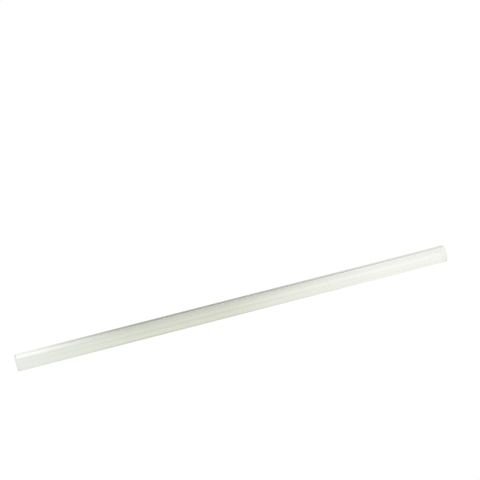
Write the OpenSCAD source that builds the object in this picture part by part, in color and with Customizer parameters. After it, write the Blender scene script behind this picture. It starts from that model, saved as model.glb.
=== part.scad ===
// Straight glass drinking straw with fire-polished rims.
// It lies along X on the plane z = 0, with the middle of its underside at the origin.
// Every outline below is drawn as a section: radius from the tube's axis across, height along the tube up.

/* [Tube] */
// Length from rim to rim
straw_length = 210; // [120:1:300]
// Outside diameter, the same from end to end
outer_diameter = 8; // [6:0.5:12]
// Thickness of the drawn glass wall
wall = 1; // [0.7:0.1:1.5]

/* [Fire-polished rims] */
// How far the melted glass of a rim stands proud into the bore
rim_gather = 0.12; // [0.05:0.01:0.2]
// Radius of the hollow curve that leads a rim back to the straight bore
throat_radius = 4; // [2:0.5:8]

/* [Hidden] */
$fn = 96;
clear_glass = [0.9, 0.94, 0.92, 0.45];

outer_r = outer_diameter / 2;
bore_r = outer_r - wall;

// The lip is one full round: the cut edge melts, draws together and thickens by the gathered glass
lip_r = (wall + rim_gather) / 2;
lip_centre_r = outer_r - lip_r;

// The throat curve is a circle that touches both the lip and the straight bore.
// Its centre lies level with the point where it meets the bore, one throat radius inside the glass surface.
touching_r = lip_r + throat_radius;
throat_centre_r = bore_r - throat_radius;
throat_run = sqrt(touching_r * touching_r - pow(lip_centre_r - throat_centre_r, 2));
throat_end = lip_r + throat_run;
throat_start = lip_r + throat_run * lip_r / touching_r;

// Rim at the section's lower end: the round lip, and the gathered glass behind it
module rim_section() {
    translate([lip_centre_r, lip_r])
        circle(r = lip_r);
    difference() {
        translate([bore_r - rim_gather, throat_start])
            square([rim_gather + wall / 2, throat_end - throat_start]);
        translate([throat_centre_r, throat_end])
            circle(r = throat_radius);
    }
}

// Whole wall in section: the straight drawn wall between two rims
module wall_section() {
    translate([bore_r, lip_r])
        square([wall, straw_length - 2 * lip_r]);
    rim_section();
    translate([0, straw_length])
        mirror([0, 1])
            rim_section();
}

// The straw: its wall turned once round the axis, then laid down on its side
module straw() {
    color(clear_glass)
        translate([-straw_length / 2, 0, outer_r])
            rotate([0, 90, 0])
                rotate_extrude()
                    wall_section();
}

straw();
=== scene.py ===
import math

import bmesh
import bpy
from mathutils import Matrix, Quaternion, Vector


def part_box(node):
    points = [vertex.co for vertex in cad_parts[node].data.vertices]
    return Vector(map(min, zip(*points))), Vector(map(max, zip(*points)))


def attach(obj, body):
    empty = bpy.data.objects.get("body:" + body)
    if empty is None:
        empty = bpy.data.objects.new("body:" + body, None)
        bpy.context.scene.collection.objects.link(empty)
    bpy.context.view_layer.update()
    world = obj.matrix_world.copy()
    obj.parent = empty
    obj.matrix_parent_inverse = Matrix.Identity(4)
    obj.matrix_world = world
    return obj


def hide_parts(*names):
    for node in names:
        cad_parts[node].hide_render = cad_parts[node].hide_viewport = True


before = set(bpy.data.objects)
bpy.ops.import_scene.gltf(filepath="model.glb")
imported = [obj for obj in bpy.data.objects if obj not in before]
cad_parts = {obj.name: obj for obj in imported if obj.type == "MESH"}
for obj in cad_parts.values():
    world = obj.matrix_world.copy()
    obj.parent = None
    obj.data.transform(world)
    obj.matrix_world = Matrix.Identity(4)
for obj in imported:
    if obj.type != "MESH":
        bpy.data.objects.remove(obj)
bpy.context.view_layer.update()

MM = 0.001

# The tube. Its length and outside diameter are the frame's.
straw_low, straw_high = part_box("straw")
half_length = (straw_high.x - straw_low.x) / 2
outer_r = (straw_high.z - straw_low.z) / 2
axis_z = straw_low.z + outer_r
wall = 1.0 * MM
bore_r = outer_r - wall

# The fire-polished rims: a round lip, gathered a little into the bore, and the throat behind it
rim_gather = 0.12 * MM
throat_r = 4.0 * MM
lip_r = (wall + rim_gather) / 2
lip_centre_r = outer_r - lip_r
throat_centre_r = bore_r - throat_r
touching_r = lip_r + throat_r
throat_run = math.sqrt(touching_r ** 2 - (lip_centre_r - throat_centre_r) ** 2)
throat_turn = math.asin(throat_run / touching_r)

# How finely the round forms are divided
LIP_POINTS = 64
THROAT_STEPS = 8
WALL_STEPS = 12
HOLDING_STEP = 0.1 * MM
ROUND_STEPS = 160
WELD = 1e-6
NEAR = 4 * WELD

# The photograph's view: what the camera looks at, from how far and from where, and how it is turned
AIM = Vector((18.57, 46.22, 4.0)) * MM
DISTANCE = 1013.9 * MM
AZIMUTH = 18.30
ELEVATION = 38.26
ROLL = -2.38
LENS = 158.06
SENSOR = 36.0

# The glass: how strongly it bends light, its tint where the drawn wall is thin and thick, and the tint and
# density of its mass
GLASS_IOR = 1.473
THIN_TINT = (0.994, 0.999, 0.99)
THICK_TINT = (0.986, 0.994, 0.98)
MASS_TINT = (0.92, 0.95, 0.88)
MASS_DENSITY = 100.0

# Where the noise of the drawn bands turns from thin to thick, and that of the handling from clean to handled
BAND_FROM = 0.3
BAND_TO = 0.7
HAZE_FROM = 0.52
HAZE_TO = 0.78

# The surface: the roughness where it is clean, what handling adds, and the relief of bands and draw lines
CLEAN_ROUGHNESS = 0.004
HANDLED_ROUGHNESS = 0.02
DRAW_DEPTH = 0.004 * MM
DRAW_STRENGTH = 0.15
BAND_SHARE = 0.7

# A painted glow for light that has been reflected more than TRAPPED_AFTER times inside the glass, as behind
# a rim
TRAPPED_GLOW = (0.26, 0.265, 0.25)
TRAPPED_AFTER = 3.5

# The floor, and its glow where it lies open
FLOOR_SIZE = 12.0
OPEN_GLOW = (1.02, 1.02, 1.02)

# The floor's glow through the glass, for the floor under the straw and for the floor behind it. It is
# painted shade, greyest towards the middle of the straw, with a painted highlight behind its left end. The
# stops go from the straw's left end, 0, to its right end, 1.
UNDER_GLOW = (
    (0.00, (0.79, 0.81, 0.78)),
    (0.30, (0.60, 0.615, 0.535)),
    (0.48, (0.60, 0.61, 0.525)),
    (0.64, (0.755, 0.755, 0.70)),
    (0.85, (0.87, 0.87, 0.84)))
BEHIND_GLOW = (
    (0.05, (0.985, 0.97, 0.965)),
    (0.26, (0.56, 0.565, 0.49)),
    (0.50, (0.545, 0.55, 0.475)),
    (0.84, (0.83, 0.825, 0.795)))
BEHIND_FROM = 6 * MM
BEHIND_TO = 12 * MM

# How much stronger that glow is in front of the straw, as painted light, and how much weaker far behind it,
# as painted shade, with stops along the straw as above
FRONT_GAIN = (
    (0.00, 1.02),
    (0.30, 1.28),
    (0.50, 1.28),
    (0.66, 1.13),
    (0.85, 1.05))
FRONT_REACH = 3 * MM
FAR_GAIN = (
    (0.06, 1.00),
    (0.26, 0.66),
    (0.62, 0.70),
    (0.84, 0.93))
FAR_FROM = 9 * MM
FAR_TO = 20 * MM

# A thin shade on the floor in front of the straw's foot, which draws the fine line along the lower edge
LINE_SHADE = (
    (0.05, 0.00),
    (0.25, 0.40),
    (0.50, 0.32),
    (0.80, 0.00))
LINE_FRONT = 2.2 * MM
LINE_HALF_WIDTH = 0.8 * MM

# The surroundings' glow, and the dimmer glow low down behind the straw. Its stops go by the sideways part of
# the direction, from left to right. A direction counts as high by its upward part, less LOW_LEAN of its
# backward part: the dim glow is whole up to LOW_TO, and gone from DOME_FROM on.
DOME_GLOW = (1.1, 1.1, 1.1)
LOW_GLOW = (
    (0.13, 0.90),
    (0.19, 0.06),
    (0.285, 0.06),
    (0.34, 0.60))
LOW_LEAN = 0.3
LOW_TO = -0.3
DOME_FROM = 0.2


# Shader wiring

class Wire:
    """One output of a node. Maths on wires and numbers adds Math nodes."""

    def __init__(self, recipe, socket):
        self.recipe = recipe
        self.socket = socket

    def __add__(self, other):
        return self.recipe.maths("ADD", self, other)

    def __radd__(self, other):
        return self.recipe.maths("ADD", other, self)

    def __sub__(self, other):
        return self.recipe.maths("SUBTRACT", self, other)

    def __rsub__(self, other):
        return self.recipe.maths("SUBTRACT", other, self)

    def __mul__(self, other):
        return self.recipe.maths("MULTIPLY", self, other)

    def __rmul__(self, other):
        return self.recipe.maths("MULTIPLY", other, self)

    def __truediv__(self, other):
        return self.recipe.maths("DIVIDE", self, other)


# A Mix node's sockets when it mixes colours
MIX_SHARE = 0
MIX_FIRST = 6
MIX_SECOND = 7
MIX_RESULT = 2


class Recipe:
    """The nodes of a material or of the surroundings."""

    def __init__(self, owner):
        self.owner = owner
        owner.use_nodes = True
        self.tree = owner.node_tree
        self.tree.nodes.clear()

    def node(self, kind, settings=None, inputs=None):
        """Adds one node: its settings first, then the value or the wire of each named socket."""
        made = self.tree.nodes.new(kind)
        for name, value in (settings or {}).items():
            if name == "stops":
                self.set_stops(made.color_ramp.elements, value)
            else:
                setattr(made, name, value)
        for name, value in (inputs or {}).items():
            if isinstance(value, Wire):
                self.tree.links.new(value.socket, made.inputs[name])
            else:
                made.inputs[name].default_value = value
        return made

    def set_stops(self, elements, stops):
        """Gives a ramp its stops, which are places with a colour or a number. A new ramp has two."""
        for place, colour in stops[1:-1]:
            elements.new(place)
        for element, (place, colour) in zip(elements, stops):
            element.position = place
            element.color = (*colour, 1) if isinstance(colour, tuple) else (*[colour] * 3, 1)

    def wire(self, made, name):
        """A node's output, by its name or its number."""
        return Wire(self, made.outputs[name])

    def maths(self, operation, first, second):
        return self.wire(self.node("ShaderNodeMath", {"operation": operation}, {0: first, 1: second}), 0)

    def place(self):
        """Where the shaded point is, in metres from the origin."""
        return self.wire(self.node("ShaderNodeTexCoord"), "Object")

    def noise(self, stretch, detail, roughness=0.5, shift=(0, 0, 0)):
        """Noise from 0 to 1. stretch is its number of waves a metre along X, Y and Z."""
        moved = self.node("ShaderNodeMapping", {}, {
            "Vector": self.place(), "Location": shift, "Scale": stretch})
        made = self.node("ShaderNodeTexNoise", {}, {
            "Vector": self.wire(moved, "Vector"), "Scale": 1.0, "Detail": detail, "Roughness": roughness})
        return self.wire(made, "Fac")

    def spread(self, value, low, high):
        """value from low to high, spread over 0 to 1 and held there."""
        made = self.node("ShaderNodeMapRange", {"interpolation_type": "SMOOTHSTEP"}, {
            "Value": value, "From Min": low, "From Max": high})
        return self.wire(made, "Result")

    def ramp(self, value, stops):
        """The stops' colours or numbers, one after the other as value grows."""
        return self.wire(self.node("ShaderNodeValToRGB", {"stops": stops}, {"Fac": value}), "Color")

    def scaled(self, colour, gain):
        """The colour, made stronger or weaker."""
        made = self.node("ShaderNodeVectorMath", {"operation": "SCALE"}, {0: colour, "Scale": gain})
        return self.wire(made, "Vector")

    def mix_colours(self, share, first, second):
        """The first colour where share is 0, and the second where it is 1."""
        made = self.node("ShaderNodeMix", {"data_type": "RGBA"}, {MIX_SHARE: share})
        for socket, colour in ((MIX_FIRST, first), (MIX_SECOND, second)):
            if isinstance(colour, Wire):
                self.tree.links.new(colour.socket, made.inputs[socket])
            else:
                made.inputs[socket].default_value = (*colour, 1)
        return self.wire(made, MIX_RESULT)


# Materials

def clear_glass():
    """Drawn tube glass: nearly colourless, with faint lengthwise draw lines and a trace of handling."""
    recipe = Recipe(bpy.data.materials.new("clear_glass"))
    # Soft bands that run the length of the tube, where the drawn wall is a little thicker or thinner
    bands = recipe.noise(stretch=(4, 420, 420), detail=2)
    # Hair-fine lines left by the draw
    lines = recipe.noise(stretch=(9, 2600, 2600), detail=3, roughness=0.6, shift=(3, 1, 2))
    # Faint cloudy patches where the straw has been held
    clouds = recipe.noise(stretch=(60, 160, 160), detail=4, shift=(5, 7, 1))
    haze = recipe.spread(clouds, HAZE_FROM, HAZE_TO)
    colour = recipe.mix_colours(recipe.spread(bands, BAND_FROM, BAND_TO), THIN_TINT, THICK_TINT)
    relief = bands * BAND_SHARE + lines * (1 - BAND_SHARE)
    bump = recipe.node("ShaderNodeBump", {}, {
        "Strength": DRAW_STRENGTH, "Distance": DRAW_DEPTH, "Height": relief})
    # A painted glow, grey green, stands in for light that runs on along the wall. Without this the rims
    # would be black.
    reflections = recipe.wire(recipe.node("ShaderNodeLightPath"), "Glossy Depth")
    trapped = recipe.maths("GREATER_THAN", reflections, TRAPPED_AFTER)
    surface = recipe.node("ShaderNodeBsdfPrincipled", {}, {
        "Base Color": colour,
        "Emission Color": recipe.mix_colours(trapped, (0, 0, 0), TRAPPED_GLOW),
        "Emission Strength": 1.0,
        "Roughness": CLEAN_ROUGHNESS + HANDLED_ROUGHNESS * haze,
        "IOR": GLASS_IOR,
        "Transmission Weight": 1.0,
        "Normal": recipe.wire(bump, "Normal")})
    inside = recipe.node("ShaderNodeVolumeAbsorption", {}, {
        "Color": (*MASS_TINT, 1), "Density": MASS_DENSITY})
    recipe.node("ShaderNodeOutputMaterial", {}, {
        "Surface": recipe.wire(surface, "BSDF"), "Volume": recipe.wire(inside, "Volume")})
    return recipe.owner


def white_board():
    """The plain pale surface under the straw.

    It glows as a light table does. In the photograph it is pure white where it lies open and a little greyer
    through the glass and in its reflections, so each has a glow of its own.
    """
    recipe = Recipe(bpy.data.materials.new("white_board"))
    apart = recipe.node("ShaderNodeSeparateXYZ", {}, {"Vector": recipe.place()})
    along = recipe.wire(apart, "X") / (2 * half_length) + 0.5
    backward = recipe.wire(apart, "Y")

    # Through the glass the floor shows painted light and shade: brighter in front, a thin painted shade line
    # before the foot, and painted shade and a painted highlight under and behind the straw
    in_front = recipe.spread(FRONT_REACH - backward, 0, 2 * FRONT_REACH)
    front_gain = 1 + (recipe.ramp(along, FRONT_GAIN) - 1) * in_front
    off_line = recipe.maths("ABSOLUTE", backward + LINE_FRONT, 0)
    line = 1 - recipe.spread(off_line, 0, LINE_HALF_WIDTH)
    line_gain = 1 - recipe.ramp(along, LINE_SHADE) * line
    under = recipe.scaled(recipe.ramp(along, UNDER_GLOW), front_gain * line_gain)
    far_off = recipe.spread(backward, FAR_FROM, FAR_TO)
    behind = recipe.scaled(
        recipe.ramp(along, BEHIND_GLOW), 1 + (recipe.ramp(along, FAR_GAIN) - 1) * far_off)
    through_glass = recipe.mix_colours(recipe.spread(backward, BEHIND_FROM, BEHIND_TO), under, behind)

    seen_open = recipe.wire(recipe.node("ShaderNodeLightPath"), "Is Camera Ray")
    surface = recipe.node("ShaderNodeBsdfPrincipled", {}, {
        "Base Color": (0, 0, 0, 1),
        "Roughness": 1.0,
        "Specular IOR Level": 0.0,
        "Emission Color": recipe.mix_colours(seen_open, through_glass, OPEN_GLOW),
        "Emission Strength": 1.0})
    recipe.node("ShaderNodeOutputMaterial", {}, {"Surface": recipe.wire(surface, "BSDF")})
    return recipe.owner


# Shaping

def select_near(piece, point):
    """In edit mode, selects the vertices at that point, and nothing else."""
    bpy.ops.mesh.select_all(action="DESELECT")
    shape = bmesh.from_edit_mesh(piece.data)
    for vertex in shape.verts:
        vertex.select = (vertex.co - point).length < NEAR
    shape.select_flush(True)
    bmesh.update_edit_mesh(piece.data)


def draw_to_middle(piece, start):
    """Draws the wall on from the point start to the middle of the straw.

    One short step first holds the straight wall's shading clear of the rim's, and equal steps follow.
    """
    select_near(piece, start)
    even_step = (start.x - HOLDING_STEP) / WALL_STEPS
    for step in [HOLDING_STEP] + [even_step] * WALL_STEPS:
        bpy.ops.mesh.extrude_vertices_move(TRANSFORM_OT_translate={"value": (-step, 0, 0)})


def straw_piece():
    """The wall of one half, drawn in section, turned round the axis and mirrored to the other end."""
    lip_x = half_length - lip_r
    throat_end_x = lip_x - throat_run
    lip_start = Vector((lip_x, 0, axis_z + outer_r))
    lip_end = Vector((lip_x - lip_r * math.sin(throat_turn), 0,
                      axis_z + lip_centre_r - lip_r * math.cos(throat_turn)))
    throat_end = Vector((throat_end_x, 0, axis_z + bore_r))

    # The lip starts as a full circle
    bpy.ops.object.select_all(action="DESELECT")
    bpy.ops.mesh.primitive_circle_add(
        vertices=LIP_POINTS, radius=lip_r, fill_type="NOTHING",
        location=(lip_x, 0, axis_z + lip_centre_r), rotation=(math.pi / 2, 0, 0))
    piece = bpy.context.object
    piece.name = "straw_glass"
    piece.data.name = "straw_glass"
    bpy.ops.object.transform_apply(location=True, rotation=True, scale=True)

    # It is cut along the line from the outer wall to the throat, and its outer part is kept
    bpy.ops.object.mode_set(mode="EDIT")
    bpy.ops.mesh.select_all(action="SELECT")
    chord = lip_end - lip_start
    bpy.ops.mesh.bisect(
        plane_co=lip_start, plane_no=chord.cross(Vector((0, 1, 0))).normalized(),
        clear_inner=True, clear_outer=False, threshold=WELD / 10)

    # The throat sweeps from the lip to the straight bore
    select_near(piece, lip_end)
    bpy.ops.mesh.spin(
        steps=THROAT_STEPS, angle=throat_turn, axis=(0, 1, 0),
        center=(throat_end_x, 0, axis_z + throat_centre_r))
    draw_to_middle(piece, throat_end)
    draw_to_middle(piece, lip_start)

    # The section turns once round the straw's axis
    bpy.ops.mesh.select_all(action="SELECT")
    bpy.ops.mesh.spin(steps=ROUND_STEPS, angle=2 * math.pi, axis=(1, 0, 0), center=(0, 0, axis_z))
    bpy.ops.mesh.select_all(action="SELECT")
    bpy.ops.mesh.remove_doubles(threshold=WELD)
    bpy.ops.object.mode_set(mode="OBJECT")

    # The other half
    mirror = piece.modifiers.new("other_half", "MIRROR")
    mirror.use_axis = (True, False, False)
    mirror.use_mirror_merge = True
    mirror.merge_threshold = WELD
    bpy.ops.object.modifier_apply(modifier=mirror.name)

    bpy.ops.object.mode_set(mode="EDIT")
    bpy.ops.mesh.select_all(action="SELECT")
    bpy.ops.mesh.normals_make_consistent(inside=False)
    bpy.ops.object.mode_set(mode="OBJECT")
    bpy.ops.object.shade_smooth()
    return piece


straw = straw_piece()
straw.data.materials.append(clear_glass())
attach(straw, "root")
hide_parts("straw")


# The floor, the light and the camera

def pale_floor():
    bpy.ops.object.select_all(action="DESELECT")
    bpy.ops.mesh.primitive_plane_add(size=FLOOR_SIZE, location=(0, 0, straw_low.z))
    floor = bpy.context.object
    floor.name = "floor"
    floor.data.materials.append(white_board())


def soft_panel(name, width, height, place, radiance):
    """A panel that glows evenly with that radiance on the side that faces the straw."""
    light = bpy.data.lights.new(name, "AREA")
    light.shape = "RECTANGLE"
    light.size = width
    light.size_y = height
    light.energy = math.pi * width * height * radiance
    panel = bpy.data.objects.new(name, light)
    bpy.context.scene.collection.objects.link(panel)
    panel.location = place
    panel.rotation_mode = "QUATERNION"
    panel.rotation_quaternion = (-Vector(place)).to_track_quat("-Z", "Y")
    panel.visible_camera = False


def pale_dome():
    """Even pale surroundings, dimmer low down behind, for the thin dark line along the upper edge."""
    recipe = Recipe(bpy.data.worlds.new("pale_dome"))
    towards = recipe.wire(recipe.node("ShaderNodeTexCoord"), "Generated")
    apart = recipe.node("ShaderNodeSeparateXYZ", {}, {"Vector": towards})
    height = recipe.wire(apart, "Z") - LOW_LEAN * recipe.wire(apart, "Y")
    raised = recipe.spread(height, LOW_TO, DOME_FROM)
    low = recipe.ramp(recipe.wire(apart, "X"), LOW_GLOW)
    seen_open = recipe.wire(recipe.node("ShaderNodeLightPath"), "Is Camera Ray")
    dome = recipe.mix_colours(seen_open, recipe.mix_colours(raised, low, DOME_GLOW), OPEN_GLOW)
    glow = recipe.node("ShaderNodeBackground", {}, {"Color": dome, "Strength": 1.0})
    recipe.node("ShaderNodeOutputWorld", {}, {"Surface": recipe.wire(glow, "Background")})
    bpy.context.scene.world = recipe.owner


def photograph_camera():
    azimuth = math.radians(AZIMUTH)
    elevation = math.radians(ELEVATION)
    looking = Vector((
        math.sin(azimuth) * math.cos(elevation),
        math.cos(azimuth) * math.cos(elevation),
        -math.sin(elevation)))
    lens = bpy.data.cameras.new("camera")
    lens.lens = LENS
    lens.sensor_width = SENSOR
    lens.clip_start = 10 * MM
    lens.clip_end = FLOOR_SIZE
    camera = bpy.data.objects.new("camera", lens)
    bpy.context.scene.collection.objects.link(camera)
    camera.location = AIM - DISTANCE * looking
    camera.rotation_mode = "QUATERNION"
    roll = Quaternion((0, 0, 1), math.radians(ROLL))
    camera.rotation_quaternion = looking.to_track_quat("-Z", "Y") @ roll
    bpy.context.scene.camera = camera


pale_floor()
pale_dome()
# High behind: a faint sheen along the upper third of the straw
soft_panel("high_panel", width=4.0, height=3.1, place=(0.6, 1.35, 2.1), radiance=0.42)
# In front on the right: a faint sheen along the middle of the straw, strongest in its right half
soft_panel("front_panel", width=2.6, height=2.6, place=(1.5, -1.5, 1.6), radiance=0.42)
photograph_camera()
bpy.context.scene.view_settings.view_transform = "Standard"
